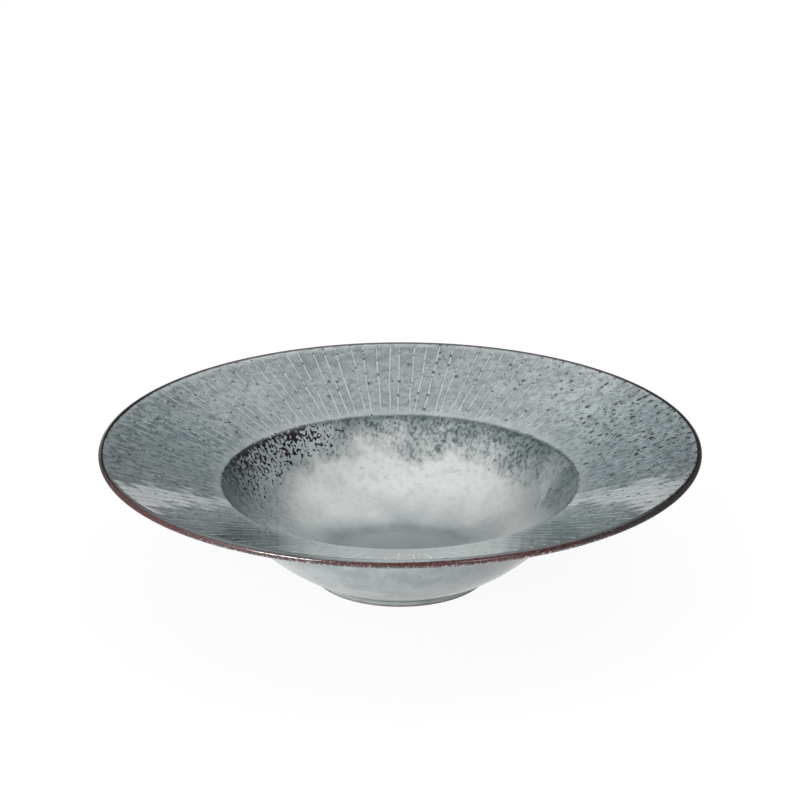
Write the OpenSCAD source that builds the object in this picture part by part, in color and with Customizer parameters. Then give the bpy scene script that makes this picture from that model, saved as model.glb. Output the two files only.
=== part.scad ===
// Deep pasta plate of glazed stoneware, with a wide sloping rim and a low foot ring.
// It stands on z = 0 and is round about the Z axis. Its section is drawn as one run of
// points along the finished surface, and the clay is that run moved inwards by the
// thickness of the glaze at each point. Each coat is the space between the two runs.

/* [Plate] */
// Diameter over the lip
plate_d = 270; // [240:2:300]
// Height from the standing face to the top of the lip
plate_h = 63.5; // [57:0.1:70]
// Diameter of the well at its edge
well_d = 160; // [142:1:176]
// Height of the lip above the edge of the well
rim_rise = 18; // [12:0.1:24]

/* [Walls] */
// Thickness of the rim at the rounded lip
lip_t = 3.7; // [2.6:0.1:4.4]
// Thickness of the rim beside the well
rim_t = 5.5; // [4.2:0.1:6.4]
// Thickness of the floor
floor_t = 5.6; // [4.6:0.1:7]
// How far the outside of the bowl swells beyond a straight side
bowl_swell = 3.9; // [2.6:0.1:4.8]

/* [Well] */
// Angle of the side of the well from level
side_angle = 55; // [48:1:60]
// Length of the straight stretch below the edge of the well
side_straight = 12.8; // [8:0.1:17]
// Rounding of the edge of the well
edge_round = 2; // [1:0.1:3]
// Rounding outside, where the bowl meets the rim
shoulder_round = 8; // [4:0.5:10]

/* [Foot] */
// Outer diameter of the foot ring
foot_d = 80; // [70:1:92]
// Height of the crease between the foot ring and the bowl
crease_h = 2.6; // [2.2:0.1:3.4]
// Rounding of that crease
crease_round = 0.8; // [0.5:0.1:1.2]
// Width of the bare clay that the plate stands on
foot_w = 5; // [3.5:0.1:7]
// Rounding of the edges of the standing face
foot_round = 0.5; // [0.3:0.05:0.6]
// Height of the bare strip wiped round the standing face
bare_h = 0.7; // [0.6:0.05:1]
// Depth of the hollow inside the foot ring
recess_h = 3.5; // [3:0.1:4]
// Rounding in the corner of that hollow
recess_round = 1.2; // [0.8:0.1:1.4]

/* [Glaze] */
// Thickness of the glaze on the rim, the side of the well and the outside
glaze_t = 0.45; // [0.3:0.05:0.6]
// Thickness of the glaze where it pools on the floor of the well
pool_t = 0.9; // [0.6:0.05:1.2]
// Thickness of the glaze where it breaks over the edge of the well
break_t = 0.2; // [0.1:0.02:0.3]
// Thickness of the iron band round the lip
band_t = 0.3; // [0.15:0.05:0.45]
// Angle above level at which the band starts on the rounded lip
band_top_angle = 56; // [40:1:75]
// Angle below level at which the band ends on the rounded lip
band_low_angle = 62; // [40:1:68]

/* [Cut lines] */
// Number of lines cut into the rim
line_count = 128; // [64:1:160]
// Width of a line
line_w = 0.55; // [0.4:0.05:0.8]
// Depth of a line in the clay
line_cut = 0.35; // [0.2:0.05:0.5]
// Depth of the glaze in a line below the glaze of the rim
line_dip = 0.12; // [0.06:0.02:0.2]
// Bare distance from the edge of the well to the lines, along the slope
line_inner_gap = 2.2; // [1.6:0.1:4]
// Bare distance from the rounded lip to the lines, along the slope
line_outer_gap = 2.4; // [1.6:0.1:5]
// Angle by which the lines lean from straight outwards
line_lean = -2; // [-4:0.5:4]
// Largest wander of a line from its even place, in degrees
line_wander = 0.35; // [0:0.05:0.6]

/* [Hidden] */

// Facets of a full turn, and steps of the round stretches of the section
turn_fn = 192;
bowl_steps = 12;
edge_steps = 4;
lip_steps = 3;
band_steps = 8;
corner_steps = 4;

// How far a cut runs past the surface that it opens
overrun = 1;

// Colours of the fired clay, the coats and the band
clay_colour = "#6b564a";
rim_colour = "#8c979a";
line_colour = "#b4bcbd";
well_colour = "#b9c0c0";
outside_colour = "#b2b9ba";
band_colour = "#3f2a28";

// Vector of length one at an angle from straight outwards
function aim(angle) = [cos(angle), sin(angle)];

// Angle of a vector from straight outwards
function heading(v) = atan2(v.y, v.x);

// Points on an arc about a centre, from one angle to another
function arc(centre, radius, from, to, steps) =
    [for (i = [0 : steps]) centre + radius * aim(from + (to - from) * i / steps)];

// The arc that rounds a corner and touches the stretches on both sides of it
function rounded(before, corner, after, radius, steps) =
    let (
        inward = (corner - before) / norm(corner - before),
        onward = (after - corner) / norm(after - corner),
        turn = atan2(cross(inward, onward), inward * onward),
        start = corner - radius * tan(abs(turn) / 2) * inward,
        centre = start + sign(turn) * radius * [-inward.y, inward.x],
        from = heading(start - centre)
    )
    arc(centre, radius, from, from + turn, steps);

// Normal of a stretch on the side of the clay, which is the right of the way it runs
function clay_side(a, b) = [b.y - a.y, a.x - b.x] / norm(b - a);

// A run of points moved to the side of the clay, each by its own thickness
function clay_run(run, thickness) = [
    for (i = [0 : len(run) - 1])
        let (
            last = len(run) - 1,
            side_before = clay_side(run[max(i - 1, 0)], run[max(i, 1)]),
            side_after = clay_side(run[min(i, last - 1)], run[min(i + 1, last)])
        )
        run[i] + thickness[i] * (side_before + side_after) / (1 + side_before * side_after)
];

// A value that goes evenly from one end to the other in a number of steps
function fade(from, to, steps) = [for (i = [0 : steps]) from + (to - from) * i / steps];

// One value for each point of a run
function even(value, run) = [for (point = run) value];

// Part of a list, from one place to another
function part_of(list, first, last) = [for (i = [first : last]) list[i]];

// A list turned round
function turned(list) = [for (i = [len(list) - 1 : -1 : 0]) list[i]];

// Radii and heights that the section hangs on
lip_r = plate_d / 2;
foot_r = foot_d / 2;
floor_z = recess_h + floor_t;
well_edge = [well_d / 2, plate_h - rim_rise];

// The lip is a half round about this centre
bead_r = lip_t / 2;
bead = [lip_r - bead_r, plate_h - bead_r];

// Upper face of the rim: the straight line from the well's edge that touches the bead
rim_angle = heading(bead - well_edge) + asin(bead_r / norm(bead - well_edge));
rim_end = bead + bead_r * aim(rim_angle + 90);

// Shoulder: the point below the well's edge where the bowl meets the rim outside
shoulder = well_edge + rim_t * aim(rim_angle - 90);
under_angle = heading(bead - shoulder) - asin(bead_r / norm(bead - shoulder));
under_end = bead + bead_r * aim(under_angle - 90);

// Side of the well: a straight stretch, then an arc that runs out level on the floor
side_end = well_edge - side_straight * aim(side_angle);
floor_round = (side_end.y - floor_z) / (1 - cos(side_angle));
floor_centre = [side_end.x - floor_round * sin(side_angle), floor_z + floor_round];

// Outside of the bowl: an arc from the shoulder down to the crease above the foot ring
crease = [foot_r, crease_h];
bowl_chord = shoulder - crease;
bowl_round = norm(bowl_chord) * norm(bowl_chord) / (8 * bowl_swell) + bowl_swell / 2;
bowl_half = asin(norm(bowl_chord) / (2 * bowl_round));
bowl_mid_angle = heading(bowl_chord) - 90;
bowl_centre = (shoulder + crease) / 2 - (bowl_round - bowl_swell) * aim(bowl_mid_angle);

// The finished surface in stretches, from the middle of the floor over the lip to the foot
floor_run = concat([[0, floor_z]], arc(floor_centre, floor_round, -90, side_angle - 90, bowl_steps));
edge_run = rounded(side_end, well_edge, rim_end, edge_round, edge_steps);
lip_top_run = arc(bead, bead_r, rim_angle + 90, band_top_angle, lip_steps);
band_run = arc(bead, bead_r, band_top_angle, -band_low_angle, band_steps);
lip_low_run = arc(bead, bead_r, -band_low_angle, under_angle - 90, lip_steps);
bowl_arc = arc(bowl_centre, bowl_round, bowl_mid_angle + bowl_half, bowl_mid_angle - bowl_half, bowl_steps);
shoulder_run = rounded(under_end, shoulder, bowl_arc[1], shoulder_round, corner_steps);
bowl_run = part_of(bowl_arc, 1, bowl_steps - 1);
crease_run = rounded(bowl_arc[bowl_steps - 1], crease, [foot_r, 0], crease_round, corner_steps);
foot_run = [[foot_r, bare_h]];

surface = concat(
    floor_run, edge_run, lip_top_run, part_of(band_run, 1, band_steps),
    part_of(lip_low_run, 1, lip_steps), shoulder_run, bowl_run, crease_run, foot_run
);

// Thickness of the glaze at each of those points
surface_t = concat(
    [pool_t], fade(pool_t, glaze_t, bowl_steps),
    fade(glaze_t, break_t, edge_steps / 2), part_of(fade(break_t, glaze_t, edge_steps / 2), 1, edge_steps / 2),
    fade(glaze_t, band_t, lip_steps), part_of(even(band_t, band_run), 1, band_steps),
    part_of(fade(band_t, glaze_t, lip_steps), 1, lip_steps),
    even(glaze_t, shoulder_run), even(glaze_t, bowl_run), even(glaze_t, crease_run), even(glaze_t, foot_run)
);
clay = clay_run(surface, surface_t);

// Places in the run where one coat ends and the next begins
edge_place = len(floor_run) + edge_steps / 2;
band_place = len(floor_run) + len(edge_run) + lip_steps;
band_end_place = band_place + band_steps;
shoulder_place = band_end_place + lip_steps + 1 + corner_steps / 2;
foot_place = len(surface) - 1;
seat_place = foot_place - 1;

// The flat joint on which the bowl sits on the foot ring, and the ring's clay between its coats
seat_z = clay[seat_place].y;
ring_outer_r = foot_r - glaze_t;
ring_inner_r = ring_outer_r - foot_w;

// The hollow under the floor, from the wiped strip on the ring's inner wall to the middle
recess_r = ring_inner_r - glaze_t;
recess = concat(
    [[recess_r, bare_h], [recess_r, seat_z]],
    rounded([recess_r, seat_z], [recess_r, recess_h], [0, recess_h], recess_round, corner_steps),
    [[0, recess_h]]
);
recess_clay = clay_run(recess, even(glaze_t, recess));

// Cut lines lie on the straight face of the rim, between their two bare distances
face_length = norm(rim_end - well_edge);
line_length = face_length - line_inner_gap - line_outer_gap;
line_middle = well_edge + (line_inner_gap + line_length / 2) * aim(rim_angle);
line_floor = glaze_t + line_cut;

// Angle of a line round the plate: an even share of the turn, and a little wander by hand
wander_step_angle = 137.5;
function line_angle(i) = 360 * i / line_count + line_wander * sin(wander_step_angle * i);

// A bar along every cut line, from one depth below the face of the rim to another
module line_bars(low, high) {
    for (i = [0 : line_count - 1])
        rotate([0, 0, line_angle(i)])
            translate([line_middle.x, 0, line_middle.y])
                rotate([0, -rim_angle, 0])
                    rotate([0, 0, line_lean])
                        translate([-line_length / 2, -line_w / 2, low])
                            cube([line_length, line_w, high - low]);
}

// The space between two runs of the section, turned about the axis
module coat(outside, inside) {
    rotate_extrude($fn = turn_fn)
        polygon(concat(outside, turned(inside)));
}

// Stoneware floor and bowl, up to the joint between the well's edge and the shoulder
module clay_bowl() {
    color(clay_colour)
        rotate_extrude($fn = turn_fn)
            polygon(concat(
                part_of(clay, 0, edge_place),
                part_of(clay, shoulder_place, seat_place),
                part_of(recess_clay, 1, len(recess_clay) - 1)
            ));
}

// Stoneware rim round the bowl, with the lines cut into its face
module clay_rim() {
    color(clay_colour)
        difference() {
            rotate_extrude($fn = turn_fn)
                polygon(part_of(clay, edge_place, shoulder_place));
            line_bars(-line_floor, overrun);
        }
}

// Bare clay ring that the plate stands on, with its lower edges rounded
module foot_ring() {
    inner_low = [ring_inner_r, 0];
    outer_low = [ring_outer_r, 0];
    inner_top = [ring_inner_r, seat_z];
    outer_top = [ring_outer_r, seat_z];
    color(clay_colour)
        rotate_extrude($fn = turn_fn)
            polygon(concat(
                rounded(inner_top, inner_low, outer_low, foot_round, corner_steps),
                rounded(inner_low, outer_low, outer_top, foot_round, corner_steps),
                [outer_top, inner_top]
            ));
}

// Coat on the upper face of the rim, parted by the cut lines
module rim_glaze() {
    color(rim_colour)
        difference() {
            coat(part_of(surface, edge_place, band_place), part_of(clay, edge_place, band_place));
            line_bars(-line_floor, overrun);
        }
}

// Pale glaze pooled in the cut lines, one bar in each
module line_glaze() {
    color(line_colour)
        line_bars(-line_floor, -line_dip);
}

// Coat on the floor and the side of the well, thickest on the floor
module well_glaze() {
    color(well_colour)
        coat(part_of(surface, 0, edge_place), part_of(clay, 0, edge_place));
}

// Coat under the rim, round the bowl and down the outer wall of the foot ring
module outside_glaze() {
    color(outside_colour)
        coat(part_of(surface, band_end_place, foot_place), part_of(clay, band_end_place, foot_place));
}

// Coat on the underside of the floor, inside the foot ring
module recess_glaze() {
    color(outside_colour)
        coat(recess, recess_clay);
}

// Thin iron band round the lip
module edge_band() {
    color(band_colour)
        coat(part_of(surface, band_place, band_end_place), part_of(clay, band_place, band_end_place));
}

clay_bowl();
clay_rim();
foot_ring();
rim_glaze();
line_glaze();
well_glaze();
outside_glaze();
recess_glaze();
edge_band();
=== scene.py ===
"""Deep pasta plate of glazed stoneware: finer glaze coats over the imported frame, and their finishes.

Sizes are in millimetres. Angles are in degrees, counted from +X round the plate.
"""
import math
from functools import partial

import bmesh
import bpy
from mathutils import Matrix, Vector, noise


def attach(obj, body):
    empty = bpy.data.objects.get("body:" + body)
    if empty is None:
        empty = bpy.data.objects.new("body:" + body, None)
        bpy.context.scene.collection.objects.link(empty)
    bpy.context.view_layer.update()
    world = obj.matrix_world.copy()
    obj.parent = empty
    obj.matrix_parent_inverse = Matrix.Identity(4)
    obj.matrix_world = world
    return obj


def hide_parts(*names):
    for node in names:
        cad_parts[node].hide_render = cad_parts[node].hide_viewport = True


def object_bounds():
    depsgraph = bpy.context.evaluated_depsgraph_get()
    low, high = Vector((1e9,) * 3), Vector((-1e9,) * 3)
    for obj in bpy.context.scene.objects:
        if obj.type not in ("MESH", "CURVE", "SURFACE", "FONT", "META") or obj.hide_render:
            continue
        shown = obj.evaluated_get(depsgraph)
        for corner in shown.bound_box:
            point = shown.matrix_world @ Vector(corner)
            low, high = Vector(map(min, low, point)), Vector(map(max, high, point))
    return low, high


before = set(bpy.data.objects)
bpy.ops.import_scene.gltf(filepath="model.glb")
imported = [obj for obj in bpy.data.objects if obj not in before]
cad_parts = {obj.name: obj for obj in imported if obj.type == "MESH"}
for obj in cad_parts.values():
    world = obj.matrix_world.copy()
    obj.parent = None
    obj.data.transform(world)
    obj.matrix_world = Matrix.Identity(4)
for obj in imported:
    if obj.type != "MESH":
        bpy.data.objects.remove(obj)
cad_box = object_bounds()
MM = 0.001

# Sizes of the plate, as its solids have them
PLATE_R = min(-cad_box[0][0], cad_box[1][0], -cad_box[0][1], cad_box[1][1]) / MM
PLATE_H = cad_box[1][2] / MM
WELL_R = 80
RIM_RISE = 18
LIP_T = 3.7
RIM_T = 5.5
FLOOR_T = 5.6
BOWL_SWELL = 3.9
SIDE_ANGLE = 55
SIDE_STRAIGHT = 12.8
EDGE_ROUND = 2
SHOULDER_ROUND = 8
FOOT_R = 40
CREASE_H = 2.6
CREASE_ROUND = 0.8
FOOT_W = 5
BARE_H = 0.7
RECESS_H = 3.5
RECESS_ROUND = 1.2

# Thickness of the glaze: usual, pooled on the floor, broken over the well's edge, and on the lip
GLAZE_T = 0.45
POOL_T = 0.9
BREAK_T = 0.2
BAND_T = 0.3
BAND_TOP_ANGLE = 56
BAND_LOW_ANGLE = 62

# Cut lines: count, lean and wander as the solids have them
LINE_COUNT = 128
LINE_LEAN = -2
LINE_WANDER = 0.35
WANDER_STEP_ANGLE = 137.5
LINE_W = 0.55
LINE_DIP = 0.02
LINE_DEEP = 0.22
LINE_START_R = 82.2
LINE_END_R = 131.2

# What a knife held by hand adds: a lean and a sway of each line, and ends that scatter
LEAN_SPREAD = 1.2
LINE_SWAY = 0.35
SWAY_GRAIN = 17
START_SCATTER = 0.5
END_SCATTER = 0.9
WIDTH_SPREAD_SHARE = 0.35
WIDTH_GRAIN = 5
END_TAPER_FROM_SHARE = -0.01
END_TAPER_TO_SHARE = 0.03
BAR_ROUND_SHARE = 0.12

# Steps through the noise from one line, rib or bar to the next, and starts that keep them apart
LINE_SEED_STEP = 7.31
SWAY_SEED = 3.7
RIB_SEED_STEP = 5.7
RIB_SEED = 2.2
BAR_SEED_STEP = 3.17
BAR_SEED = 11.3
BAR_END_SEED = 5

# Face of the rim between the lines: grooves, ribs with a soft crown and a tilt, uneven glaze
GROOVE_DEPTH = 0.05
GROOVE_FLOOR = 0.05
GROOVE_EDGE = 0.32
LINE_RUN_OUT = 1.6
PILLOW_DEPTH = 0.008
RIB_TILT = 0.03
TILT_GRAIN = 8
UNEVEN_DEPTH = 0.03
UNEVEN_GRAIN = 6
UNEVEN_FROM_R = 83
UNEVEN_REACH = 3

# Distance of the rim's columns from their line, and of the last one as a share of the pitch
COLUMN_OFFSETS = (0, 0.16, 0.32, 0.45)
LAST_COLUMN_SHARE = 0.36
RIM_COLUMNS = 9

# Length of a cut line that holds one iron speck at most
BEAD_STEP = 3.3

# Roughness of the rim's glaze, and the slow waves that a glaze keeps where it ran
GLAZE_ROUGHNESS = 0.07
WAVE_GRAIN = 9
WAVE_DEPTH = 0.014

# How near counts as one point, how near as on the face, and the angle from which an edge is sharp
MERGE_DISTANCE = 1e-3
ON_FACE_WITHIN = 0.1
SHARP_ANGLE = 50

# Steps round the plate, and along each stretch of its section
COAT_STEPS = 384
SECTORS = 16
FLOOR_FIRST_R = 4
FLOOR_RINGS = 4
BOWL_STEPS = 24
EDGE_STEPS = 12
EDGE_MID = EDGE_STEPS // 2
FLOOR_STEPS = 40
FACE_STEPS = 40
LIP_STEPS = 6
BAND_STEPS = 20
UNDER_STEPS = 16
SHOULDER_STEPS = 8
CORNER_STEPS = 6
BAR_STEPS = 26


# Section of the plate

def aim(angle):
    """Vector of length one at an angle from straight outwards."""
    return Vector((math.cos(math.radians(angle)), math.sin(math.radians(angle))))


def heading(vector):
    return math.degrees(math.atan2(vector.y, vector.x))


def arc(centre, radius, start, end, steps):
    return [centre + radius * aim(start + (end - start) * i / steps) for i in range(steps + 1)]


def rounded(before, corner, after, radius, steps):
    """Arc that rounds a corner and touches the stretches on both sides of it."""
    inward = (corner - before).normalized()
    onward = (after - corner).normalized()
    turn = math.degrees(math.atan2(inward.x * onward.y - inward.y * onward.x, inward.dot(onward)))
    start = corner - radius * math.tan(math.radians(abs(turn) / 2)) * inward
    centre = start + math.copysign(radius, turn) * Vector((-inward.y, inward.x))
    return arc(centre, radius, heading(start - centre), heading(start - centre) + turn, steps)


def fade(start, end, steps):
    return [start + (end - start) * i / steps for i in range(steps + 1)]


def clay_under(run, thickness):
    """The run of points moved to the side of the clay, each by its own thickness."""
    moved = []
    last = len(run) - 1
    for i, point in enumerate(run):
        before = (run[max(i, 1)] - run[max(i - 1, 0)]).normalized()
        after = (run[min(i + 1, last)] - run[min(i, last - 1)]).normalized()
        side = Vector((before.y + after.y, -before.x - after.x)) / (1 + before.dot(after))
        moved.append(point + side * thickness[i])
    return moved


WELL_EDGE = Vector((WELL_R, PLATE_H - RIM_RISE))
LIP_R = LIP_T / 2
LIP = Vector((PLATE_R - LIP_R, PLATE_H - LIP_R))
RIM_ANGLE = heading(LIP - WELL_EDGE) + math.degrees(math.asin(LIP_R / (LIP - WELL_EDGE).length))
RIM_END = LIP + LIP_R * aim(RIM_ANGLE + 90)
SHOULDER = WELL_EDGE + RIM_T * aim(RIM_ANGLE - 90)
UNDER_ANGLE = heading(LIP - SHOULDER) - math.degrees(math.asin(LIP_R / (LIP - SHOULDER).length))
UNDER_END = LIP + LIP_R * aim(UNDER_ANGLE - 90)
FLOOR_Z = RECESS_H + FLOOR_T
SIDE_END = WELL_EDGE - SIDE_STRAIGHT * aim(SIDE_ANGLE)
FLOOR_ROUND = (SIDE_END.y - FLOOR_Z) / (1 - math.cos(math.radians(SIDE_ANGLE)))
FLOOR_FLAT_R = SIDE_END.x - FLOOR_ROUND * math.sin(math.radians(SIDE_ANGLE))
FLOOR_CENTRE = Vector((FLOOR_FLAT_R, FLOOR_Z + FLOOR_ROUND))
CREASE = Vector((FOOT_R, CREASE_H))
CHORD = SHOULDER - CREASE
BOWL_ROUND = CHORD.length ** 2 / (8 * BOWL_SWELL) + BOWL_SWELL / 2
BOWL_HALF = math.degrees(math.asin(CHORD.length / (2 * BOWL_ROUND)))
BOWL_MID = heading(CHORD) - 90
BOWL_CENTRE = (SHOULDER + CREASE) / 2 - (BOWL_ROUND - BOWL_SWELL) * aim(BOWL_MID)
BOWL_ARC = arc(BOWL_CENTRE, BOWL_ROUND, BOWL_MID + BOWL_HALF, BOWL_MID - BOWL_HALF, BOWL_STEPS)
EDGE_RUN = rounded(SIDE_END, WELL_EDGE, RIM_END, EDGE_ROUND, EDGE_STEPS)


def well_section():
    """Floor and side of the well, from the axis to the middle of the well's rounded edge."""
    floor = [Vector((0, FLOOR_Z))]
    floor += [Vector((r, FLOOR_Z)) for r in fade(FLOOR_FIRST_R, FLOOR_CENTRE.x, FLOOR_RINGS)[:-1]]
    side = arc(FLOOR_CENTRE, FLOOR_ROUND, -90, SIDE_ANGLE - 90, FLOOR_STEPS)
    straight = [SIDE_END.lerp(EDGE_RUN[0], share) for share in (0.25, 0.5, 0.75)]
    run = floor + side + straight + EDGE_RUN[:EDGE_MID + 1]
    glaze = [POOL_T] * len(floor) + fade(POOL_T, GLAZE_T, FLOOR_STEPS) + [GLAZE_T] * len(straight)
    glaze += fade(GLAZE_T, BREAK_T, EDGE_MID)
    return run + clay_under(run, glaze)[::-1]


def rim_section():
    """Upper face of the rim, from the middle of the well's edge to the start of the lip band."""
    face = [EDGE_RUN[-1].lerp(RIM_END, i / FACE_STEPS) for i in range(1, FACE_STEPS)]
    lip = arc(LIP, LIP_R, RIM_ANGLE + 90, BAND_TOP_ANGLE, LIP_STEPS)
    run = EDGE_RUN[EDGE_MID:] + face + lip
    glaze = fade(BREAK_T, GLAZE_T, EDGE_MID) + [GLAZE_T] * len(face) + fade(GLAZE_T, BAND_T, LIP_STEPS)
    under = clay_under(run, glaze)
    return run + [under[-1], under[-LIP_STEPS - 1], under[len(run) // 2], under[EDGE_MID], under[0]]


def band_section():
    """The iron band round the lip."""
    run = arc(LIP, LIP_R, BAND_TOP_ANGLE, -BAND_LOW_ANGLE, BAND_STEPS)
    return run + clay_under(run, [BAND_T] * len(run))[::-1]


def outside_section():
    """Underside of the rim, outside of the bowl and outer wall of the foot."""
    lip = arc(LIP, LIP_R, -BAND_LOW_ANGLE, UNDER_ANGLE - 90, LIP_STEPS)
    bowl = BOWL_ARC[2:-2]
    shoulder = rounded(UNDER_END, SHOULDER, bowl[0], SHOULDER_ROUND, SHOULDER_STEPS)
    under = [UNDER_END.lerp(shoulder[0], i / UNDER_STEPS) for i in range(1, UNDER_STEPS)]
    crease = rounded(bowl[-1], CREASE, Vector((FOOT_R, 0)), CREASE_ROUND, CORNER_STEPS)
    run = lip + under + shoulder + bowl + crease + [Vector((FOOT_R, BARE_H))]
    glaze = fade(BAND_T, GLAZE_T, LIP_STEPS)
    glaze += [GLAZE_T] * (len(run) - len(glaze))
    return run + clay_under(run, glaze)[::-1]


def recess_section():
    """Underside of the floor, inside the foot ring."""
    wall_r = FOOT_R - GLAZE_T - FOOT_W - GLAZE_T
    low = Vector((wall_r, BARE_H))
    corner = rounded(low, Vector((wall_r, RECESS_H)), Vector((0, RECESS_H)), RECESS_ROUND, CORNER_STEPS)
    flat = [Vector((r, RECESS_H)) for r in fade(corner[-1].x, 0, CORNER_STEPS)[1:]]
    run = [low] + corner + flat
    return run + clay_under(run, [GLAZE_T] * len(run))[::-1]


# Pieces

def turned_shell(section, steps):
    """A bmesh of a closed section in millimetres, spun about the axis and repeated to a full turn."""
    shell = bmesh.new()
    points = [shell.verts.new((point.x, 0, point.y)) for point in section]
    ends_on_axis = section[0].x < MERGE_DISTANCE
    pairs = zip(points, points[1:] if ends_on_axis else points[1:] + points[:1])
    edges = [shell.edges.new(pair) for pair in pairs]
    bmesh.ops.spin(shell, geom=points + edges, cent=(0, 0, 0), axis=(0, 0, 1), dvec=(0, 0, 0),
                   angle=math.tau / SECTORS, steps=steps // SECTORS)
    reach = math.tau / SECTORS
    while reach < math.tau * 0.99:
        more = bmesh.ops.duplicate(shell, geom=shell.verts[:] + shell.edges[:] + shell.faces[:])["geom"]
        bmesh.ops.rotate(shell, verts=[part for part in more if isinstance(part, bmesh.types.BMVert)],
                         cent=(0, 0, 0), matrix=Matrix.Rotation(reach, 3, "Z"))
        reach *= 2
    bmesh.ops.remove_doubles(shell, verts=shell.verts, dist=MERGE_DISTANCE)
    return shell


def finish_piece(name, shell, node, material):
    """Close a bmesh in millimetres into an object that stands for a node of the frame."""
    bmesh.ops.recalc_face_normals(shell, faces=shell.faces)
    bmesh.ops.transform(shell, matrix=Matrix.Scale(MM, 4), verts=shell.verts)
    mesh = bpy.data.meshes.new(name)
    shell.to_mesh(mesh)
    shell.free()
    mesh.shade_smooth()
    mesh.set_sharp_from_angle(angle=math.radians(SHARP_ANGLE))
    piece = bpy.data.objects.new(name, mesh)
    bpy.context.scene.collection.objects.link(piece)
    mesh.materials.append(material)
    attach(piece, "root")
    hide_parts(node)


def smooth(low, high, value):
    share = min(max((value - low) / (high - low), 0), 1)
    return share * share * (3 - 2 * share)


def rim_height(r):
    """Height of the rim's even upper slope at a radius."""
    return WELL_EDGE.y + (r - WELL_R) * math.tan(math.radians(RIM_ANGLE))


def line_place(line, r):
    """Angle of a cut line at a radius, in radians, with its lean and the sway of the hand."""
    line %= LINE_COUNT
    seed = Vector((line * LINE_SEED_STEP, 0, 0))
    angle = 360 * line / LINE_COUNT + LINE_WANDER * math.sin(math.radians(WANDER_STEP_ANGLE * line))
    lean = LINE_LEAN + LEAN_SPREAD * noise.noise(seed) * 2
    middle_r = (LINE_START_R + LINE_END_R) / 2
    sway = LINE_SWAY * noise.noise(seed + Vector((0, r / SWAY_GRAIN, SWAY_SEED))) * 2
    return math.radians(angle) + (math.tan(math.radians(lean)) * (r - middle_r) + sway) / r


def between_lines(place, r):
    """Angle in radians at a place counted in lines, such as 3.5 between lines 3 and 4."""
    line = math.floor(place)
    share = place - line
    turn = math.tau * (line + 1 >= LINE_COUNT)
    return line_place(line, r) * (1 - share) + (line_place(line + 1, r) + turn) * share


def groove_depth(offset, r, pitch):
    """How far the face of the rim lies below its even slope beside a cut line."""
    reach = smooth(LINE_START_R - LINE_RUN_OUT, LINE_START_R, r)
    reach *= 1 - smooth(LINE_END_R - LINE_RUN_OUT, LINE_END_R + LINE_RUN_OUT, r)
    groove = GROOVE_DEPTH * (1 - smooth(GROOVE_FLOOR, GROOVE_EDGE, offset))
    pillow = PILLOW_DEPTH * math.cos(math.pi * min(offset / pitch * 2, 1))
    return reach * (groove + pillow)


def rim_coat(material):
    """Glaze on the rim. Its columns gather at each line, where the face dips into a groove."""
    steps = LINE_COUNT * RIM_COLUMNS
    shell = turned_shell(rim_section(), steps)
    half = RIM_COLUMNS // 2
    face_from = EDGE_RUN[-1].x - EDGE_ROUND / 2
    face_to = RIM_END.x + ON_FACE_WITHIN
    slope_normal = aim(RIM_ANGLE + 90)
    places = {}
    for vert in shell.verts:
        r = math.hypot(vert.co.x, vert.co.y)
        column = round(math.atan2(vert.co.y, vert.co.x) / math.tau * steps) % steps
        line, rest = divmod(column + half, RIM_COLUMNS)
        rest -= half
        pitch = math.tau * r / LINE_COUNT
        offset = (*COLUMN_OFFSETS, LAST_COLUMN_SHARE * pitch)[abs(rest)]
        place = line + math.copysign(offset / pitch, rest)
        places[vert] = (place, r)
        turn = math.tau if place < 0 else 0
        angle = between_lines(place % LINE_COUNT, r) - turn
        on_face = face_from < r < face_to and vert.co.z > rim_height(r) - ON_FACE_WITHIN
        depth = 0
        if on_face:
            depth = groove_depth(offset, r, pitch)
            rib = math.floor(place) % LINE_COUNT
            tilt = RIB_TILT * noise.noise(Vector((rib * RIB_SEED_STEP, r / TILT_GRAIN, RIB_SEED)))
            depth += tilt * (place % 1 - 0.5) * pitch if rest else 0
            spot = Vector((math.cos(angle) * r, math.sin(angle) * r, 0)) / UNEVEN_GRAIN
            uneven = UNEVEN_DEPTH * smooth(UNEVEN_FROM_R, UNEVEN_FROM_R + UNEVEN_REACH, r)
            depth += uneven * (noise.noise(spot) + 1) / 2
        r -= depth * slope_normal.x
        vert.co = (r * math.cos(angle), r * math.sin(angle), vert.co.z - depth * slope_normal.y)
    lines = shell.loops.layers.uv.new("lines")
    for face in shell.faces:
        spots = [places[loop.vert] for loop in face.loops]
        wraps = max(spot[0] for spot in spots) - min(spot[0] for spot in spots) > LINE_COUNT / 2
        for loop, (place, r) in zip(face.loops, spots):
            loop[lines].uv = (place + LINE_COUNT * (wraps and place < LINE_COUNT / 2), r)
    finish_piece("rim_coat", shell, "rim_glaze", material)


def plain_bar(bars):
    """A bar one long, wide and high round the origin, with its long upper edges rounded."""
    bmesh.ops.create_cube(bars, size=1)
    upper = [edge for edge in bars.edges if all(vert.co.z > 0 and edge.other_vert(vert).co.x != vert.co.x
                                                for vert in edge.verts)]
    bmesh.ops.bevel(bars, geom=upper, offset=BAR_ROUND_SHARE, segments=2, profile=0.5, affect="EDGES",
                    material=-1)
    long_edges = [edge for edge in bars.edges if abs(edge.verts[0].co.x - edge.verts[1].co.x) > 0.5]
    bmesh.ops.subdivide_edges(bars, edges=long_edges, cuts=BAR_STEPS - 1, use_grid_fill=True)
    return bars.verts[:] + bars.edges[:] + bars.faces[:]


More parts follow.
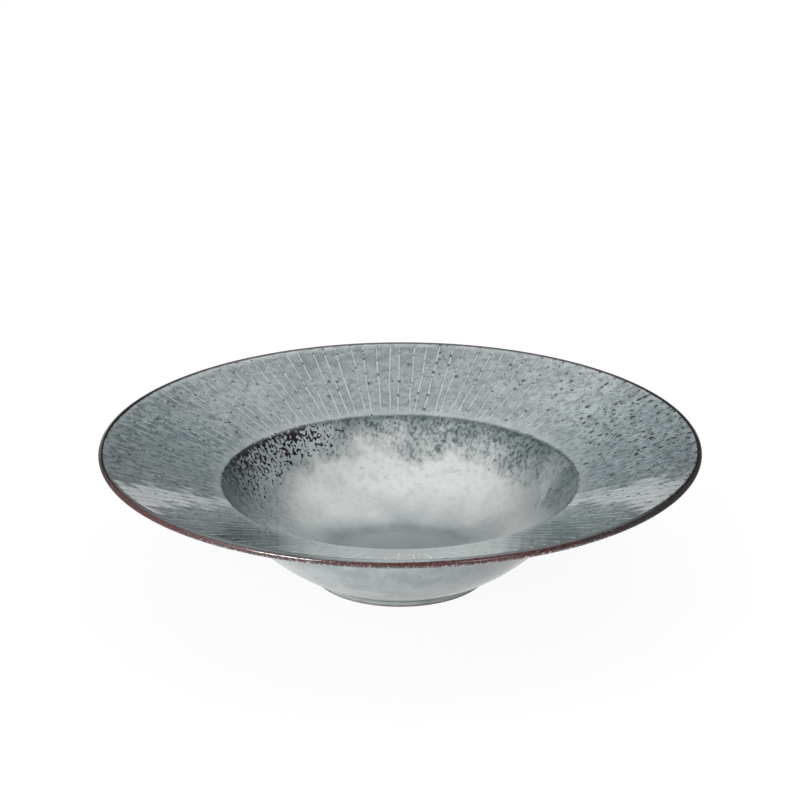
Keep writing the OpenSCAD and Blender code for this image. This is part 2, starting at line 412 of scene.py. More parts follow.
def line_bars(material):
    """Pale glaze pooled in the cut lines: one slim bar in each, flush with the face of the rim."""
    bars = bmesh.new()
    lines = bars.loops.layers.uv.new("lines")
    pattern = plain_bar(bars)
    copies = [bmesh.ops.duplicate(bars, geom=pattern)["geom"] for _ in range(LINE_COUNT - 1)]
    normal = aim(RIM_ANGLE + 90)
    for line, parts in enumerate([pattern] + copies):
        seed = Vector((line * BAR_SEED_STEP, BAR_SEED, 0))
        start = LINE_START_R + START_SCATTER * noise.noise(seed)
        end = LINE_END_R + END_SCATTER * noise.noise(seed + Vector((0, BAR_END_SEED, 0)))
        for face in parts:
            if isinstance(face, bmesh.types.BMFace):
                for loop in face.loops:
                    loop[lines].uv = (line, start + (end - start) * (loop.vert.co.x + 0.5))
        for vert in parts:
            if isinstance(vert, bmesh.types.BMVert):
                share = vert.co.x + 0.5
                r = start + (end - start) * share
                spread = WIDTH_SPREAD_SHARE * noise.noise(seed + Vector((r / WIDTH_GRAIN, 0, 0)))
                width = LINE_W * (1 + spread)
                width *= smooth(END_TAPER_FROM_SHARE, END_TAPER_TO_SHARE, min(share, 1 - share))
                drop = -LINE_DIP - LINE_DEEP * (0.5 - vert.co.z)
                out = r + normal.x * drop
                turn = line_place(line, r) + vert.co.y * width / r
                vert.co = (out * math.cos(turn), out * math.sin(turn), rim_height(r) + normal.y * drop)
    finish_piece("line_bars", bars, "line_glaze", material)


# Nodes that the finishes share
#
# MapRange turns a place in millimetres, such as a radius, x to the right or y to the back, into a
# strength. Its first two numbers are places, and the next two the strengths there, else 0 and 1.

def colour(hex_code):
    """Linear colour of an sRGB hex value."""
    channels = [int(hex_code[i:i + 2], 16) / 255 for i in (1, 3, 5)]
    return [c / 12.92 if c <= 0.04045 else ((c + 0.055) / 1.055) ** 2.4 for c in channels] + [1]


def add_node(tree, kind, *values, named=None, **settings):
    """Add a node with its settings, fill its sockets in order and then by name, give its outputs."""
    made = tree.nodes.new("ShaderNode" + kind)
    for name, value in settings.items():
        setattr(made, name, value)
    for socket, value in [*enumerate(values), *(named or {}).items()]:
        if isinstance(value, bpy.types.bpy_prop_collection):
            value = value[0]
        if isinstance(value, bpy.types.NodeSocket):
            tree.links.new(value, made.inputs[socket])
        elif value is not None:
            made.inputs[socket].default_value = value
    return made.outputs


def new_finish(name):
    """An empty material, the way to add to its nodes, and the place on the plate in millimetres."""
    material = bpy.data.materials.new(name)
    material.use_nodes = True
    material.node_tree.nodes.clear()
    add = partial(add_node, material.node_tree)
    place = add("VectorMath", add("TexCoord")["Object"], named={"Scale": 1 / MM}, operation="SCALE")
    return material, add, place


def close_finish(add, base, roughness, relief, relief_mm):
    """Glazed or bare surface from a colour, a roughness and a relief in millimetres."""
    bump = add("Bump", named={"Height": relief, "Distance": relief_mm * MM, "Strength": 1.0})
    surface = add("BsdfPrincipled", named={
        "Base Color": base, "Roughness": roughness, "Normal": bump, "IOR": 1.5,
    })
    add("OutputMaterial", surface)


def close_glaze(add, place, base, roughness=GLAZE_ROUGHNESS):
    """Glossy glaze with slow waves, which bend the highlights a little."""
    waves = add("TexNoise", place, None, 1 / WAVE_GRAIN, 1.0, 0.4)
    close_finish(add, base, roughness, waves, WAVE_DEPTH)


def clouds(add, place, size, low=0.35, high=0.65, detail=3.0, most=1.0):
    """Cloudy noise with a grain in millimetres, drawn out from 0 at low to the most at high."""
    cloudy = add("TexNoise", place, None, 1 / size, detail, 0.6)
    return add("MapRange", cloudy, low, high, 0.0, most, interpolation_type="SMOOTHSTEP")


def iron_specks(add, place, spacing, chance, small, large, soft):
    """Round iron specks of random girth, one in a cell of a spacing in mm, kept by chance."""
    cell = add("TexVoronoi", place, named={"Scale": 1 / spacing})
    luck, girth, _ = add("SeparateColor", cell["Color"])
    away = add("Math", cell["Distance"], spacing, operation="MULTIPLY")
    beyond = add("Math", away, add("MapRange", girth, 0.0, 1.0, small, large), operation="SUBTRACT")
    kept = add("Math", luck, chance, operation="LESS_THAN")
    return add("MapRange", beyond, soft, -soft, 0.0, kept, interpolation_type="SMOOTHSTEP")


def radius_of(add, x, y):
    """Distance from the plate's axis."""
    return add("VectorMath", add("CombineXYZ", x, y), operation="LENGTH")["Value"]


def angle_of(add, x, y):
    """Angle in degrees round the plate, from the back towards the left."""
    left = add("Math", x, -1.0, operation="MULTIPLY")
    return add("Math", add("Math", left, y, operation="ARCTAN2"), math.degrees(1), operation="MULTIPLY")


# Iron and grey glaze, where one pattern runs over several pieces

def lip_iron(add, place):
    """Where iron shows on the rounded lip: from mid-height in front to over its top at the back.

    Gives the iron below its upper edge, the glaze below its lower edge, and the angle on the lip.
    """
    x, y, z = add("SeparateXYZ", place)
    rise = add("Math", z, LIP.y, operation="SUBTRACT")
    out = add("Math", radius_of(add, x, y), LIP.x, operation="SUBTRACT")
    angle = add("Math", add("Math", rise, out, operation="ARCTAN2"), math.degrees(1), operation="MULTIPLY")
    ragged = add("MapRange", add("TexNoise", place, None, 1 / 1.6, 3.0, 0.6), 0.3, 0.7, -7.0, 7.0)
    slope = add("MapRange", x, -60.0, 60.0, 82 / PLATE_R, 44 / PLATE_R)
    edge = add("Math", y, slope, 105.0, operation="MULTIPLY_ADD")
    edge = add("MapRange", edge, 38.0, 130.0, 38.0, 130.0)
    below = add("Math", angle, add("Math", edge, ragged, operation="ADD"), operation="SUBTRACT")
    iron = add("MapRange", below, 5.0, -5.0, interpolation_type="SMOOTHSTEP")
    low = add("MapRange", y, -125.0, -95.0, -56.0, -80.0)
    above = add("Math", add("Math", angle, low, operation="SUBTRACT"), ragged, operation="ADD")
    under = add("MapRange", above, 8.0, -8.0, interpolation_type="SMOOTHSTEP")
    return iron, under, angle


def iron_colour(add, place):
    """Iron brown in front, burnt to near black at the sides and to black green at the back."""
    toward_brown = (*aim(250) / PLATE_R, 0)
    facing = add("VectorMath", place, toward_brown, operation="DOT_PRODUCT")["Value"]
    facing = add("MapRange", facing, 0.45, 0.8, -0.75, 0.8)
    patch = add("Math", clouds(add, place, 3.0), facing, operation="ADD")
    brown = add("MixRGB", add("MapRange", patch, 0.3, 0.7), colour("#110e0f"), colour("#3c1514"))
    behind = add("MapRange", add("SeparateXYZ", place)["Y"], 10.0, 70.0)
    return add("MixRGB", behind, brown, colour("#10181a"))


def lip_grey(add, aside):
    """Grey glaze on the nose of the lip, paler in the middle of the front, where the paler tone is painted
    reflection.
    """
    # Paler in the middle of the front: painted reflection
    middle = add("MapRange", aside, 42.0, 10.0)
    return add("MixRGB", middle, colour("#3f4a4c"), colour("#808a8b"))


def edge_break(add, place, base, reach):
    """Glaze run thin over the well's edge, where the iron under it darkens it in clouds."""
    broken = add("Math", reach, clouds(add, place, 4.0, 0.25, 0.6), operation="MULTIPLY")
    return add("MixRGB", broken, base, colour("#394243"))


def well_iron(add, place):
    """Iron breaking through at the back left of the well, as a net of black blots and runs.

    Gives the net, its colour, how much iron there is, and the place along the run of the glaze.
    """
    x, y, z = add("SeparateXYZ", place)
    around = add("VectorMath", add("CombineXYZ", x, y), operation="NORMALIZE")
    around = add("VectorMath", around, named={"Scale": WELL_R}, operation="SCALE")
    climb = add("CombineXYZ", 0.0, 0.0, add("Math", z, 0.95, operation="MULTIPLY"))
    running = add("VectorMath", around, climb, operation="ADD")
    drift = add("MapRange", add("TexNoise", running, None, 1 / 8, 3.0), 0.3, 0.7, -1.0, 1.0)

    # How much iron there is: a share up the side of the well, and more on its edge
    r = radius_of(add, x, y)
    angle = add("Math", drift, 5.0, angle_of(add, x, y), operation="MULTIPLY_ADD")
    low = add("MapRange", angle, 20.0, 75.0, 73.0, 66.0)
    height = add("Math", add("Math", drift, 1.5, r, operation="MULTIPLY_ADD"), low, operation="SUBTRACT")
    side = add("MapRange", height, -1.5, 9.0, 0.16, 0.6)
    side = add("MapRange", height, -1.5, 1.0, 0.0, side)
    crown = add("MapRange", r, 78.6, 79.6, 0.0, 0.3)
    amount = add("Math", side, crown, operation="ADD")
    amount = add("MapRange", angle, 17.0, 36.0, 0.0, amount)
    amount = add("MapRange", angle, 104.0, 76.0, 0.0, amount)
    amount = add("MapRange", r, 81.2, 80.2, 0.0, amount)

    # Cells of about 2 mm, bent and blotted, whose walls are iron where they rise above the threshold
    bend = add("VectorMath", add("TexNoise", running, None, 1 / 1.6, 2.0)["Color"], (0.6, 0.6, 0.6),
               operation="MULTIPLY")
    bent = add("VectorMath", running, (1 / 2.0, 1 / 2.0, 1 / 1.5), bend, operation="MULTIPLY_ADD")
    cell = add("TexVoronoi", bent, named={"Scale": 1.0})["Distance"]
    blots = add("MapRange", add("TexNoise", running, None, 1 / 1.2, 1.0), 0.3, 0.7, -0.45, 0.45)
    patchy = add("MapRange", add("TexNoise", running, None, 1 / 3.5, 2.0), 0.3, 0.7, -0.12, 0.12)
    wall = add("Math", add("Math", cell, 0.6, 0.2, operation="MULTIPLY_ADD"), blots, operation="ADD")
    wall = add("Math", wall, patchy, operation="ADD")
    over = add("Math", wall, add("MapRange", amount, 0.0, 1.0, 0.95, 0.2), operation="SUBTRACT")
    net = add("MapRange", over, -0.04, 0.03, 0.0, add("MapRange", amount, 0.02, 0.12))
    shade = add("MixRGB", add("MapRange", angle, 62.0, 88.0), colour("#1c1418"), colour("#2b3436"))
    return net, shade, amount, running


def line_beads(add, line, r, offset, right):
    """Iron specks strung on the cut lines like beads, 0.5 to 2 mm wide, most towards the lip."""
    thread = add("Math", line, 31.7, operation="MULTIPLY")
    thread = add("Math", r, 1 / BEAD_STEP, thread, operation="MULTIPLY_ADD")
    bead = add("TexVoronoi", named={"W": thread, "Scale": 1.0}, voronoi_dimensions="1D")
    luck, girth, side = add("SeparateColor", bead["Color"])
    along = add("Math", bead["Distance"], BEAD_STEP * 0.65, operation="MULTIPLY")
    aside = add("Math", offset, add("MapRange", side, 0.0, 1.0, -0.35, 0.35), operation="ADD")
    away = add("VectorMath", add("CombineXYZ", along, aside), operation="LENGTH")["Value"]
    largest = add("MapRange", right, 0.0, 1.0, 0.7, 0.95)
    beyond = add("Math", away, add("MapRange", girth, 0.0, 1.0, 0.25, largest), operation="SUBTRACT")

    # Swarms of a few lines and millimetres hold more of them
    spot = add("CombineXYZ", add("Math", line, 5 / 3, operation="MULTIPLY"),
               add("Math", r, 5 / 9, operation="MULTIPLY"))
    swarm = add("MapRange", add("TexNoise", spot, None, 1.0), 0.35, 0.65, 0.3, 1.2)
    chance = add("Math", add("MapRange", r, 88.0, 126.0, 0.08, 0.75), swarm, operation="MULTIPLY")
    chance = add("Math", chance, add("MapRange", right, 0.0, 1.0, 0.7, 1.0), operation="MULTIPLY")
    kept = add("Math", luck, chance, operation="LESS_THAN")
    return add("MapRange", beyond, 0.15, -0.15, 0.0, kept, interpolation_type="SMOOTHSTEP")


# Finishes

def rim_body(add, place, x, y, right, behind):
    """Cloudy blue-grey of the rim, with grains of 10, 3 and 1 mm. Its tone by place is painted light and
    shade over the glaze's own clouds: paler to the right and at the far sides of the back, darker at the
    front right.
    """
    # Paler to the right and at the far sides of the back: painted light
    back = add("MixRGB", add("MapRange", x, -70.0, 60.0), colour("#717b7d"), colour("#828c8e"))
    sides = add("MixRGB", right, colour("#8b9698"), colour("#a3adaf"))
    aside = add("Math", x, operation="ABSOLUTE")
    back = add("MixRGB", add("MapRange", aside, 52.0, 88.0), back, sides)
    front = add("MixRGB", right, colour("#798487"), colour("#7e898c"))
    body = add("MixRGB", behind, front, back)
    # Darker at the front right: painted shade
    near = add("MapRange", y, -50.0, -95.0, 0.0, add("MapRange", x, 12.0, 50.0))
    body = add("MixRGB", near, body, colour("#485459"))
    dark = add("MixRGB", 0.35, body, colour("#4c575b"))
    light = add("MixRGB", 0.3, body, colour("#929b9c"))
    base = add("MixRGB", clouds(add, place, 10.0, detail=5.0), dark, light)
    for size, low, high, most, tint in (
        (3.2, 0.46, 0.64, 0.64, "#4c5759"),
        (3.1, 0.52, 0.7, 0.45, "#98a1a2"),
        (1.1, 0.5, 0.66, 0.45, "#434e50"),
    ):
        base = add("MixRGB", clouds(add, place, size, low, high, most=most), base, colour(tint))
    return base


def rim_patches(add, place, base, x, y, r, behind):
    """Dark mottled veil inside the lip, pale hem where the glaze stopped, dark patch in front left."""
    veil = clouds(add, place, 4.5, 0.44, 0.62, most=add("MapRange", x, 60.0, -60.0, 0.35, 0.6))
    veil = add("MapRange", r, 112.0, 123.0, 0.0, veil)
    veil = add("MapRange", r, 132.0, 130.0, 0.0, veil)
    base = add("MixRGB", veil, base, colour("#404b50"))
    hem = add("MapRange", clouds(add, place, 5.0), 0.0, 1.0, 0.35, 1.0)
    hem = add("Math", hem, add("MapRange", behind, 0.0, 1.0, 0.15, 0.8), operation="MULTIPLY")
    hem = add("Math", hem, add("MapRange", x, 100.0, 0.0, 0.4, 1.0), operation="MULTIPLY")
    hem = add("MapRange", r, 128.5, 131.0, 0.0, hem)
    base = add("MixRGB", hem, base, colour("#a3abac"))
    patch = add("MapRange", clouds(add, place, 2.6, 0.42, 0.6), 0.0, 1.0, 0.65, 1.0)
    patch = add("MapRange", y, -60.0, -80.0, 0.0, patch)
    off_centre = add("Math", add("Math", x, 57.0, operation="ADD"), operation="ABSOLUTE")
    patch = add("MapRange", off_centre, 30.0, 10.0, 0.0, patch)
    return add("MixRGB", patch, base, colour("#333e41"))


def rim_lines(add, base, x, y, r, line, beside, right, behind):
    """Along each line: a dark shoulder that comes and goes, and the pale fringe of the pooled glaze."""
    dark_end = add("MapRange", r, 122.0, 131.0, 0.0, add("MapRange", y, 0.0, -90.0, 0.0, 0.55))
    aside = add("Math", x, operation="ABSOLUTE")
    dark_end = add("MapRange", aside, 15.0, 50.0, 0.0, dark_end)
    base = add("MixRGB", dark_end, base, colour("#434e50"))
    along = add("CombineXYZ", add("Math", line, 17.3, operation="MULTIPLY"),
                add("Math", r, 1 / 4.5, operation="MULTIPLY"))
    strand = add("MapRange", add("TexNoise", along, None, 1.0, 2.0), 0.42, 0.62)
    shoulder = add("Math", strand, add("MapRange", right, 0.0, 1.0, 0.35, 0.75), operation="MULTIPLY")
    shoulder = add("MapRange", beside, 1.0, 0.5, 0.0, shoulder)
    base = add("MixRGB", shoulder, base, colour("#3c4749"))
    dash = add("MapRange", r, 122.0, 128.0, 0.0, add("Math", strand, 0.8, operation="MULTIPLY"))
    dash = add("MapRange", x, 80.0, 112.0, 0.0, dash)
    dash = add("MapRange", beside, 1.1, 0.6, 0.0, dash)
    base = add("MixRGB", dash, base, colour("#1d2729"))
    fringe = add("MapRange", r, 81.4, 82.4, 0.0, add("MapRange", behind, 0.0, 1.0, 0.15, 0.25))
    fringe = add("MapRange", r, 132.4, 131.0, 0.0, fringe)
    fringe = add("MapRange", beside, 0.42, 0.22, 0.0, fringe)
    return add("MixRGB", fringe, base, colour("#98a1a2"))


def rim_finish():
    """Stoneware with a blue-grey reactive glaze, dipped and fired glossy.

    The eye sees a cloudy, mottled grey under sharp highlights, with black iron specks strung along
    the cut lines. The real specks go down to a tenth of a millimetre. They are drawn from 0.5 mm
    across, and the finest mottle with a grain of 1.1 mm, so that they show in the render.
    """
    material, add, place = new_finish("blue_grey_reactive_glaze")
    x, y, _ = add("SeparateXYZ", place)

    # The UV map holds the place counted in lines, such as 3.5 between lines 3 and 4, and the radius
    counted, r, _ = add("SeparateXYZ", add("UVMap", uv_map="lines"))
    line = add("Math", counted, operation="ROUND")
    pitch = add("Math", r, math.tau / LINE_COUNT, operation="MULTIPLY")
    offset = add("Math", add("Math", counted, line, operation="SUBTRACT"), pitch, operation="MULTIPLY")
    beside = add("Math", offset, operation="ABSOLUTE")
    right = add("MapRange", x, 0.0, 110.0)
    behind = add("MapRange", add("Math", y, r, operation="DIVIDE"), -0.05, 0.55)
    base = rim_body(add, place, x, y, right, behind)
    base = rim_patches(add, place, base, x, y, r, behind)
    base = rim_lines(add, base, x, y, r, line, beside, right, behind)

    # Paler glaze run thick above the well, and the dark break over its edge
    ring = add("MapRange", r, 80.6, 81.4, 0.0, add("MapRange", r, 87.0, 82.0, 0.0, 0.4))
    base = add("MixRGB", ring, base, colour("#a5adae"))
    base = edge_break(add, place, base, add("MapRange", r, 81.0, 80.3, 0.0, 0.8))

    # Iron specks strung on the lines, strays between them, and the iron of the well and the lip
    beads = line_beads(add, line, r, offset, right)
    stray = add("Math", add("MapRange", right, 0.0, 1.0, 0.12, 0.34),
                add("MapRange", r, 84.0, 120.0, 0.5, 1.0), operation="MULTIPLY")
    strays = iron_specks(add, place, 3.8, stray, 0.4, 1.1, 0.18)
    specks = add("Math", beads, strays, operation="MAXIMUM")
    base = add("MixRGB", specks, base, colour("#050b0c"))
    net, shade, _, _ = well_iron(add, place)
    base = add("MixRGB", net, base, shade)
    # Grey of the lip's nose on the rim in front, with its painted reflection in the middle
    nose = add("MapRange", r, 132.2, 132.6, 0.0, add("MapRange", y, -30.0, -70.0, 0.0, 0.8))
    base = add("MixRGB", nose, base, lip_grey(add, add("Math", x, operation="ABSOLUTE")))
    iron, _, _ = lip_iron(add, place)
    base = add("MixRGB", add("MapRange", r, 131.4, 131.6, 0.0, iron), base, iron_colour(add, place))
    close_glaze(add, place, base, add("MapRange", specks, 0.0, 1.0, GLAZE_ROUGHNESS, 0.35))
    return material


def line_finish():
    """The same glaze, pooled in the cut lines before the firing.

    The eye sees thin pale strokes, clearest where they run towards the back, with iron specks on them.
    Their paler tone at the back is partly painted highlight.
    """
    material, add, place = new_finish("pale_pooled_glaze")
    x, y, _ = add("SeparateXYZ", place)
    line, r, _ = add("SeparateXYZ", add("UVMap", uv_map="lines"))
    behind = add("MapRange", add("Math", y, r, operation="DIVIDE"), 0.1, 0.7)
    front = add("MapRange", y, -95.0, -115.0, 0.0, 0.9)
    thin = add("MixRGB", clouds(add, place, 8.0), colour("#828c8e"), colour("#a2aaab"))
    thin = add("MixRGB", front, thin, colour("#e0e4e3"))
    # Pale pooled glaze at the back, made paler still by painted highlight
    pooled_and_highlit = add("MixRGB", clouds(add, place, 8.0), colour("#8f9899"), colour("#abb2b3"))
    base = add("MixRGB", behind, thin, pooled_and_highlit)
    beads = line_beads(add, line, r, 0.0, add("MapRange", x, 0.0, 110.0))
    base = add("MixRGB", add("Math", beads, 0.9, operation="MULTIPLY"), base, colour("#0a1415"))
    close_glaze(add, place, base)
    return material


def well_body(add, place, x, r, cloudy_r):
    """Blue-grey pool in the middle, creamy ring round it, grey side that darkens to left and right, most on
    the left. The darkening to left and right is painted shade.
    """
    base = add("MixRGB", add("MapRange", cloudy_r, 29.0, 60.0), colour("#7c8587"), colour("#d0d3d1"))
    base = add("MixRGB", add("MapRange", cloudy_r, 67.0, 79.0), base, colour("#7f898a"))
    # Darker to left and right, more on the left, and on the side walls: painted shade
    aside = add("Math", add("Math", x, operation="ABSOLUTE"), 1 / 75, operation="MULTIPLY")
    aside = add("Math", add("Math", aside, 2.0, operation="POWER"),
                add("MapRange", x, -30.0, 30.0, 0.95, 0.8), operation="MULTIPLY")
    base = add("MixRGB", aside, base, colour("#626d70"))
    base = add("MixRGB", add("MapRange", x, -48.0, -72.0, 0.0, 0.55), base, colour("#475254"))
    base = add("MixRGB", add("MapRange", x, 52.0, 74.0, 0.0, 0.4), base, colour("#475254"))
    mottle = clouds(add, place, 3.0, 0.46, 0.68, most=add("MapRange", r, 34.0, 66.0, 0.08, 0.3))
    base = add("MixRGB", mottle, base, colour("#7d8789"))
    for size, low, high, most, tint in ((2.4, 0.44, 0.62, 0.5, "#3a4547"), (1.7, 0.5, 0.66, 0.4, "#97a0a1")):
        flank = clouds(add, place, size, low, high, most=add("MapRange", x, -44.0, -62.0, 0.0, most))
        base = add("MixRGB", flank, base, colour(tint))
    return base


def well_finish():
    """Stoneware with a pale grey reactive glaze, poured into the well and pooled there in the firing.

    The eye sees a creamy glossy floor that darkens up the side in grey-green clouds and specks, and
    breaks to an iron-black net at the back left. The finest specks are drawn 0.4 mm across, coarser
    than the real ones, so that they show in the render.
    """
    material, add, place = new_finish("pale_grey_reactive_glaze")
    x, y, _ = add("SeparateXYZ", place)
    r = radius_of(add, x, y)
    drift = add("MapRange", add("TexNoise", place, None, 1 / 15, 4.0), 0.25, 0.75, -7.0, 7.0)
    cloudy_r = add("Math", r, drift, operation="ADD")
    net, shade, amount, running = well_iron(add, place)
    base = well_body(add, place, x, r, cloudy_r)

    # Soft grey-green clouds and specks up the side
    start = add("MapRange", x, 10.0, 60.0, 67.5, 65.0)
    rising = add("MapRange", add("Math", cloudy_r, start, operation="SUBTRACT"), 0.0, 10.0)
    patches = add("MapRange", add("TexNoise", running, None, 1 / 8, 2.0), 0.35, 0.6, 0.7, 1.0)
    soft = add("MapRange", add("TexNoise", running, None, 1 / 1.7, 3.0, 0.55), 0.46, 0.6, 0.0, 0.95)
    soft = add("Math", add("Math", soft, rising, operation="MULTIPLY"), patches, operation="MULTIPLY")
    base = add("MixRGB", soft, base, colour("#394344"))
    fine = iron_specks(add, place, 2.3, add("Math", rising, 0.8, operation="MULTIPLY"), 0.2, 0.8, 0.35)
    base = add("MixRGB", add("Math", fine, 0.6, operation="MULTIPLY"), base, colour("#414c4a"))

    # Pale islands in the net of iron, the net, and the dark break over the well's edge
    island = add("MapRange", angle_of(add, x, y), 84.0, 60.0, 0.0, 0.85)
    island = add("Math", island, add("MapRange", x, -74.0, -48.0, 0.6, 1.0), operation="MULTIPLY")
    base = add("MixRGB", add("MapRange", amount, 0.05, 0.4, 0.0, island), base, colour("#a3acae"))
    base = add("MixRGB", net, base, shade)
    base = edge_break(add, place, base, add("MapRange", r, 78.6, 79.8, 0.0, 0.7))
    close_glaze(add, place, base, roughness=0.09)
    return material


def outside_finish():
    """Stoneware dipped in a pale blue-grey glaze and fired, a little less glossy than the rim.

    The eye sees soft clouds and a few faint iron specks. It is darker to the right and above the foot, which
    is painted shade, and darker at the bottom edge of the foot.
    """
    material, add, place = new_finish("pale_blue_grey_glaze")
    x, y, z = add("SeparateXYZ", place)
    base = add("MixRGB", clouds(add, place, 11.0, detail=4.0), colour("#8c9495"), colour("#a7aeae"))
    # Darker to the right: painted shade
    base = add("MixRGB", add("MapRange", x, -20.0, 60.0, 0.0, 0.85), base, colour("#737c7d"))
    # Darker above the foot, outside the recess: painted shade
    foot = add("MapRange", z, 2.3, 3.0, 0.0, add("MapRange", z, 15.0, 5.5, 0.0, 0.85))
    foot = add("MapRange", radius_of(add, x, y), 36.0, 38.0, 0.0, foot)
    base = add("MixRGB", foot, base, colour("#3a4142"))
    # Darker at the bottom edge of the foot
    base = add("MixRGB", add("MapRange", z, 1.5, 0.9, 0.0, 0.55), base, colour("#384243"))
    base = add("MixRGB", clouds(add, place, 2.8, 0.5, 0.7, most=0.3), base, colour("#98a1a2"))
    specks = iron_specks(add, place, 8.0, 0.3, 0.2, 0.7, 0.3)
    base = add("MixRGB", add("Math", specks, 0.55, operation="MULTIPLY"), base, colour("#4a5658"))
    close_finish(add, base, 0.18, add("TexNoise", place, None, 1 / 6, 2.0), 0.02)
    return material


def band_finish():
    """Glaze run thin over the lip, so that the iron in the clay burnt through it in the firing.

    The eye sees a glossy red-brown line, gritty below, with grey glaze breaking through, and a matt
    black edge at the sides. The grit is drawn about 1 mm wide, coarser than real, to show.
    """
    material, add, place = new_finish("iron_brown_lip_glaze")
    aside = add("Math", add("SeparateXYZ", place)["X"], operation="ABSOLUTE")
    iron, under, angle = lip_iron(add, place)
    rusty = clouds(add, place, 0.9, 0.5, 0.66, most=0.5)
    rusty = add("MixRGB", rusty, iron_colour(add, place), colour("#4f2421"))
    # Grey glaze above the iron, with its painted reflection in the middle of the front
    base = add("MixRGB", iron, lip_grey(add, aside), rusty)
    grit = add("MixRGB", clouds(add, place, 1.1, 0.42, 0.58), colour("#572622"), colour("#4d585a"))
    grit = add("MixRGB", clouds(add, place, 1.3, 0.52, 0.62), grit, colour("#a5a3a3"))
    lower = add("Math", add("MapRange", angle, 4.0, -46.0, -0.4, 0.9), clouds(add, place, 1.0, 0.3, 0.7),
                operation="ADD")
    lower = add("MapRange", lower, 0.35, 0.75, 0.0, add("MapRange", aside, 112.0, 85.0))
    base = add("MixRGB", lower, base, grit)
    pale = add("MixRGB", add("MapRange", aside, 40.0, 80.0), grit, colour("#a6adad"))
    base = add("MixRGB", under, base, pale)
    dull = add("MapRange", aside, 62.0, 90.0, 0.1, 0.7)
    dull = add("Math", clouds(add, place, 0.8, 0.48, 0.56, most=0.3), dull, operation="ADD")
    close_finish(add, base, dull, add("TexNoise", place, None, 1 / 1.2, 2.0), 0.012)
    return material


def clay_finish():
    """Iron-rich stoneware, wiped bare of glaze and fired.

    The eye sees a matt dark brown with a sandy grain. Real grit is about 0.2 mm wide, and it is drawn
    0.5 mm wide to show in the render.
    """
    material, add, place = new_finish("bare_stoneware")
    grit = clouds(add, place, 0.5, detail=2.0)
    base = add("MixRGB", clouds(add, place, 3.0, detail=4.0), colour("#5f4a40"), colour("#7b6355"))
    base = add("MixRGB", add("Math", grit, 0.35, operation="MULTIPLY"), base, colour("#463730"))
    close_finish(add, base, 0.85, grit, 0.05)
    return material


rim_coat(rim_finish())
line_bars(line_finish())
outside = outside_finish()
for name, section, steps, node, slot, finish in (
    ("well_coat", well_section(), COAT_STEPS, "well_glaze", "well_glaze", well_finish()),
    ("outside_coat", outside_section(), COAT_STEPS, "outside_glaze", "outside_glaze", outside),
    ("recess_coat", recess_section(), COAT_STEPS, "recess_glaze", "outside_glaze", outside),
    ("lip_band", band_section(), COAT_STEPS * 2, "edge_band", "iron_band", band_finish()),
):
    finish_piece(name, turned_shell(section, steps), node, finish)
clay = clay_finish()
for name in ("clay_bowl", "clay_rim", "foot_ring"):
    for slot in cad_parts[name].material_slots:
        slot.material = clay


# Studio

# The photograph's camera, fitted to the outline of the plate
CAMERA_RISE = 20.57
CAMERA_ROLL = 0.14
CAMERA_AWAY = 1400
AIM_HEIGHT = 83.42
FOCAL_PIXELS = 3136
IMAGE_PIXELS = 800
SENSOR = 36

# The ground in metres, and how much of it is plain white to the eye, the rest being lit
FLOOR_R = 12
FLOOR_WHITE_SHARE = 0.93

# Lamps that draw the highlights on the lip: azimuth, height angle, width and height in metres, watts,
# and whether it lights the matt part of a surface too, or shows in the gloss alone
LAMP_AWAY = 2
LAMPS = (
    ("key_lamp", 229, 13, 0.85, 0.3, 18, True),
    ("side_lamp", 300, 19, 0.7, 0.12, 8, True),
    ("glint_lamp", 229, 9, 0.8, 0.5, 40, False),
)


def place_camera():
    camera = bpy.data.objects.new("camera", bpy.data.cameras.new("camera"))
    bpy.context.scene.collection.objects.link(camera)
    rise = math.radians(CAMERA_RISE)
    height = AIM_HEIGHT + CAMERA_AWAY * math.sin(rise)
    camera.location = (0, -CAMERA_AWAY * MM * math.cos(rise), height * MM)
    roll = Matrix.Rotation(math.radians(-CAMERA_ROLL), 3, "Z")
    turn = Matrix.Rotation(math.pi / 2 - rise, 3, "X") @ roll
    camera.rotation_euler = turn.to_euler()
    camera.data.sensor_width = SENSOR
    camera.data.lens = FOCAL_PIXELS * SENSOR / IMAGE_PIXELS
    camera.data.clip_start = 0.01
    bpy.context.scene.camera = camera
    bpy.context.scene.view_settings.view_transform = "Standard"


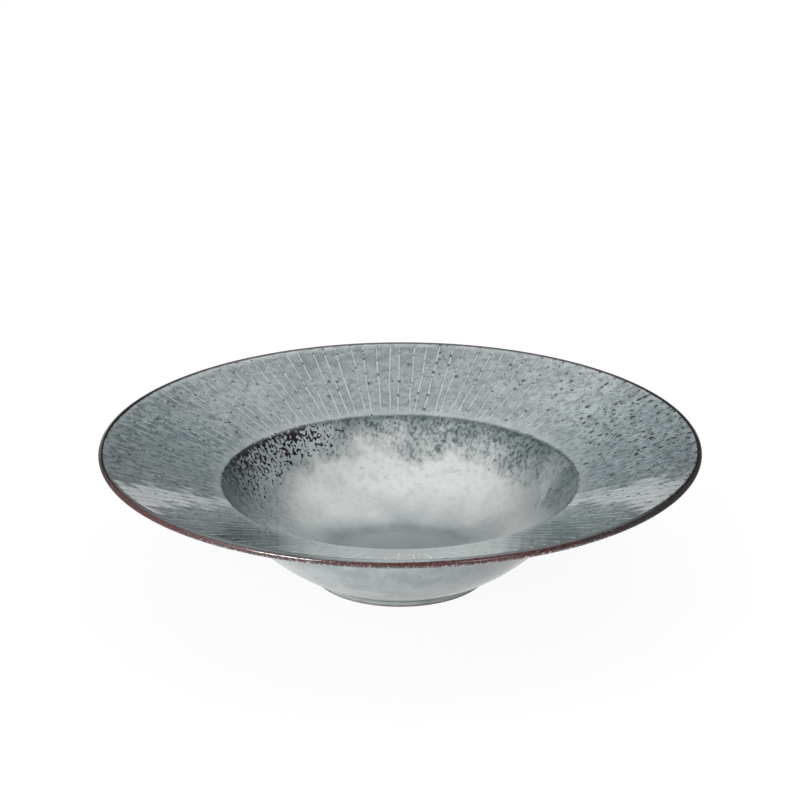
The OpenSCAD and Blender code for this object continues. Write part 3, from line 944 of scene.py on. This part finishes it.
def lay_floor():
    """White paper ground that keeps a soft shadow of the plate."""
    ground = bmesh.new()
    bmesh.ops.create_circle(ground, cap_ends=True, segments=96, radius=FLOOR_R)
    mesh = bpy.data.meshes.new("floor")
    ground.to_mesh(mesh)
    ground.free()
    floor = bpy.data.objects.new("floor", mesh)
    bpy.context.scene.collection.objects.link(floor)
    paper = bpy.data.materials.new("white_paper_ground")
    paper.use_nodes = True
    paper.node_tree.nodes.clear()
    add = partial(add_node, paper.node_tree)
    path = add("LightPath")
    seen = add("Math", path["Is Camera Ray"], path["Is Transmission Ray"], operation="MAXIMUM")
    seen = add("Math", seen, path["Is Glossy Ray"], operation="MAXIMUM")
    share = add("Math", seen, FLOOR_WHITE_SHARE, operation="MULTIPLY")
    lit = add("BsdfDiffuse", colour("#fbfbfb"))
    glow = add("Emission", colour("#ffffff"), 1.0)
    add("OutputMaterial", add("MixShader", share, lit, glow))
    mesh.materials.append(paper)


def light_room():
    """White wall low all round, dark above it, a broad soft box overhead behind, a fill in front.

    Heights are sines: 0 is level with the plate, and 1 is straight above it.
    """
    world = bpy.data.worlds.new("studio")
    bpy.context.scene.world = world
    world.use_nodes = True
    world.node_tree.nodes.clear()
    add = partial(add_node, world.node_tree)
    right, back, up = add("SeparateXYZ", add("TexCoord")["Generated"])
    slanted = add("Math", right, 0.2, up, operation="MULTIPLY_ADD")
    wall = add("MapRange", slanted, 0.168, 0.16, 0.0, 1.0, interpolation_type="SMOOTHSTEP")
    box = add("MapRange", up, 0.52, 0.8, 0.0, 2.05, interpolation_type="SMOOTHSTEP")
    box = add("MapRange", back, -0.5, 0.2, 0.0, box)
    fill = add("MapRange", up, 0.15, 0.35, 0.0, 0.5, interpolation_type="SMOOTHSTEP")
    fill = add("Math", fill, add("MapRange", right, 0.5, -0.5, 0.5, 1.4), operation="MULTIPLY")
    fill = add("MapRange", back, -0.1, -0.5, 0.0, fill)
    light = add("Math", add("Math", wall, box, operation="ADD"), add("Math", fill, 0.12, operation="ADD"),
                operation="ADD")
    add("OutputWorld", add("Background", colour("#ffffff"), light))


def hang_lamps():
    for name, azimuth, height, wide, high, watts, lights_all in LAMPS:
        lamp = bpy.data.objects.new(name, bpy.data.lights.new(name, "AREA"))
        bpy.context.scene.collection.objects.link(lamp)
        level = math.cos(math.radians(height))
        away = Vector((level * math.cos(math.radians(azimuth)), level * math.sin(math.radians(azimuth)),
                       math.sin(math.radians(height))))
        lamp.location = away * LAMP_AWAY
        lamp.rotation_euler = away.to_track_quat("Z", "Y").to_euler()
        lamp.data.shape = "RECTANGLE"
        lamp.data.size = wide
        lamp.data.size_y = high
        lamp.data.energy = watts
        lamp.visible_diffuse = lights_all


place_camera()
lay_floor()
light_room()
hang_lamps()
